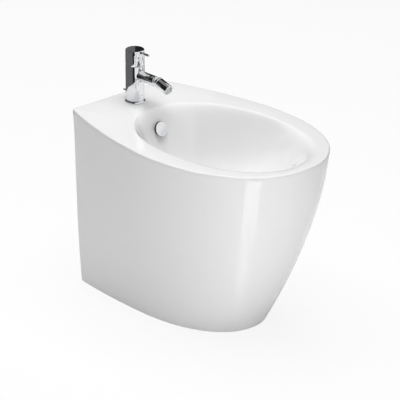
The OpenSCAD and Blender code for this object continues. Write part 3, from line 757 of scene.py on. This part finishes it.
# %% Lamps


def soft_lamp(name, azimuth, elevation, distance_m, size, power, aim=(0, 0, 0.25)):
    """A square soft box. Azimuth 0 is in front of the nose, and 90 is on the side of -X."""
    data = bpy.data.lights.new(name, "AREA")
    data.shape, data.size, data.energy = "SQUARE", size, power
    lamp = bpy.data.objects.new(name, data)
    bpy.context.collection.objects.link(lamp)
    around, above = math.radians(azimuth), math.radians(elevation)
    way = Vector((-math.sin(around) * math.cos(above), -math.cos(around) * math.cos(above),
                  math.sin(above)))
    lamp.location = Vector(aim) + distance_m * way
    lamp.rotation_euler = (-way).to_track_quat("-Z", "Y").to_euler()
    lamp.visible_glossy = False
    return lamp


soft_lamp("low_box", 30, 4, 2.6, 1.4, 39, (0, 0, 0.1))
soft_lamp("top_box", 0, 88, 2.6, 2.2, 66)
soft_lamp("back_box", 180, 55, 2.6, 3.0, 32)

# %% [markdown]
# ## Cards for the reflections
#
# Chrome is only as good as what it mirrors. In the photograph its left half mirrors a dark studio beyond
# the white sweep, its right half the white floor, and the china's front mirrors one narrow bright strip.
# So cards that only mirror rays can see stand round the object: a tall dark screen far to the left and
# behind with a dim ceiling, low dark flags just outside the rim, which the skirt can't see, and a bright
# strip on the floor. A one-sided card shows only its front. Such screens stand close round the left of the
# mixer and of the overflow's cap, which look down or back into white china and would otherwise lose their
# dark side. At the cap, the dark screen is painted shade: mirrored in the cap's edge, it stands in for the
# shadow in the gap behind the cap. None of these cards is part of the bidet.

# %% Cards


def card(name, quads, brightness, one_sided=False):
    """Flat cards that only reflections see. A one-sided card can't be seen from its back."""
    data = bmesh.new()
    for corners in quads:
        data.faces.new([data.verts.new(corner) for corner in corners])
    mesh = bpy.data.meshes.new(name)
    data.to_mesh(mesh)
    data.free()
    made = bpy.data.objects.new(name, mesh)
    bpy.context.collection.objects.link(made)
    material = bpy.data.materials.new(name)
    material.use_nodes = True
    tree = material.node_tree
    tree.nodes.clear()
    output, light = tree.nodes.new("ShaderNodeOutputMaterial"), tree.nodes.new("ShaderNodeEmission")
    light.inputs["Strength"].default_value = brightness
    tree.links.new(light.outputs[0], output.inputs["Surface"])
    if one_sided:
        side, clear = tree.nodes.new("ShaderNodeNewGeometry"), tree.nodes.new("ShaderNodeBsdfTransparent")
        pick = tree.nodes.new("ShaderNodeMixShader")
        tree.links.new(side.outputs["Backfacing"], pick.inputs["Fac"])
        tree.links.new(light.outputs[0], pick.inputs[1])
        tree.links.new(clear.outputs[0], pick.inputs[2])
        tree.links.new(pick.outputs[0], output.inputs["Surface"])
    mesh.materials.append(material)
    made.visible_camera = made.visible_shadow = made.visible_diffuse = False
    return made


def standing(line, low, high):
    """Upright quads along a line of points in plan."""
    return [((*p, low), (*q, low), (*q, high), (*p, high)) for p, q in zip(line, line[1:])]


def on_circle(radius, azimuth):
    """A point in plan. Azimuth 0 is in front of the nose and 90 is on the side of -X."""
    return (-radius * math.sin(math.radians(azimuth)), -radius * math.cos(math.radians(azimuth)))


card("far_screen", standing([on_circle(2.5, a) for a in range(48, 269, 20)], 0.0, 5.2), 0.018)
card("ceiling", [[(x, y, 5.2) for x, y in ((2.6, 2.6), (2.6, -2.6), (-2.6, -2.6), (-2.6, 2.6))]], 0.25)
card("black_flag", standing([(-0.205, 0.0), (-0.205, 0.187)], 0.38, 0.475), 0.01)
card("grey_flag", standing([(-0.205, 0.187), (-0.205, 0.300), (0.30, 0.300)], 0.38, 0.50), 0.17)
near_rim = [(x * MM, (wall_y - v) * MM) for x, v in whole_outline(rim_h, -14)]
card("rim_flag", standing([p for p in near_rim if p[1] < 0.26], 0.384, 0.402), 0.02)
TAP_MIDDLE, TAP_SCREEN_R, TAP_SCREEN_TOP = Vector((0, 0.2295, 0)), 0.055, 0.57


def round_tap(first, last, step=4):
    """A one-sided screen round the tap's left, whose foot climbs towards the front."""
    quads = []
    for a in range(first, last, step):
        near, far = (TAP_MIDDLE + TAP_SCREEN_R * Vector((*on_circle(1, b), 0)) for b in (a, a + step))
        feet = [0.404 + 0.036 * ((222 - b) / 175) ** 2 for b in (a, a + step)]
        quads.append([(*near.xy, feet[0]), (*far.xy, feet[1]),
                      (*far.xy, TAP_SCREEN_TOP), (*near.xy, TAP_SCREEN_TOP)])
    return quads


card("tap_screen", round_tap(63, 223), 0.14, one_sided=True)
card("tap_dark_screen", round_tap(47, 63), 0.02, one_sided=True)
CAP_SCREEN_R, CAP_SCREEN_H = 18.2 * MM, Vector((0, 0, 9.8 * MM))


def round_cap(first, last, step=15):
    """A one-sided screen round the overflow cap, which only the cap's edge can see."""
    quads = []
    for a in range(first, last, step):
        near, far = (CAP_SCREEN_R * Vector((math.cos(b), math.sin(b), 0))
                     for b in (math.radians(a), math.radians(a + step)))
        quads.append([OVERFLOW @ corner
                      for corner in (far, near, near + CAP_SCREEN_H, far + CAP_SCREEN_H)])
    return quads


# Painted shade: this dark card, mirrored in the cap's edge, stands in for the shadow in the gap behind the
# cap.
card("cap_painted_shade_screen", round_cap(60, 210), 0.03, one_sided=True)
card("cap_screen", round_cap(210, 270), 0.3, one_sided=True)
strip_left = [(-0.117, -0.194), (-0.210, -0.266), (-0.306, -0.348), (-0.444, -0.498), (-0.680, -0.770)]
strip_right = [(-0.082, -0.209), (-0.141, -0.309), (-0.197, -0.425), (-0.288, -0.617), (-0.400, -0.960)]
strip = [[(*p, 0.003) for p in pair] for pair in zip(strip_left, strip_right)]
strip = [(a, b, d, c) for (a, b), (c, d) in zip(strip, strip[1:])]
card("near_strip", strip[:2], 1.8)
card("far_strip", strip[2:], 3.1)

# %% Colour
bpy.context.scene.view_settings.view_transform = "Standard"
